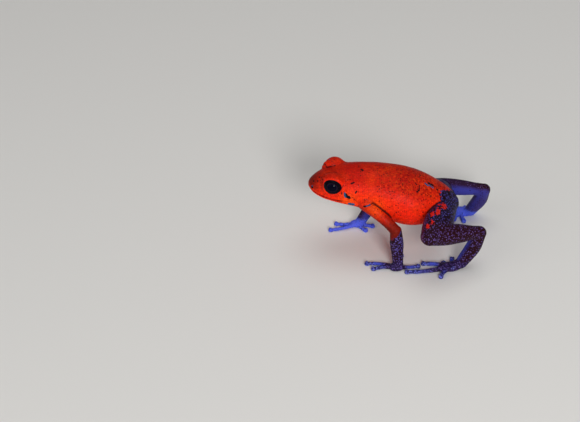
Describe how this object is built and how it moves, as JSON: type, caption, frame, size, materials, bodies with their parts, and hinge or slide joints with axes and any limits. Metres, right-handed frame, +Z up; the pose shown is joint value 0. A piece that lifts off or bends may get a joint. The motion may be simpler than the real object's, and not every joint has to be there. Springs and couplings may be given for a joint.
{
  "type": "strawberry poison dart frog",
  "caption": "Small dart frog standing on its feet with its head raised, a life-size still model: granular red body, blue-black legs with lavender flecks, glossy dark eyes.",
  "frame": {"origin": "middle of the bounding box's underside, on the floor beneath the belly", "axes": "+X to the frog's left, +Y towards its rump, so the snout points along -Y, and +Z up"},
  "size_m": [0.0218, 0.0268, 0.0138],
  "materials": {
    "skin_red": "moist, finely granular red skin, crimson on the back and orange-red on the flank, with tiny dark speckles",
    "skin_blue": "moist, finely granular blue-black to maroon skin with lavender-blue flecks, plain violet-blue on the inner sides",
    "eye": "wet, glossy black eye with a faint brown ring"
  },
  "bodies": {
    "root": {"head": "skin_red", "torso": "skin_red", "eye_left": "eye", "eye_right": "eye", "upper_arm_left": "skin_red", "upper_arm_right": "skin_red", "forearm_left": "skin_blue", "hand_left": "skin_blue", "thigh_left": "skin_blue", "shank_left": "skin_blue", "tarsus_left": "skin_blue", "foot_left": "skin_blue", "forearm_right": "skin_blue", "hand_right": "skin_blue", "thigh_right": "skin_blue", "shank_right": "skin_blue", "tarsus_right": "skin_blue", "foot_right": "skin_blue"}
  },
  "joints": []
}
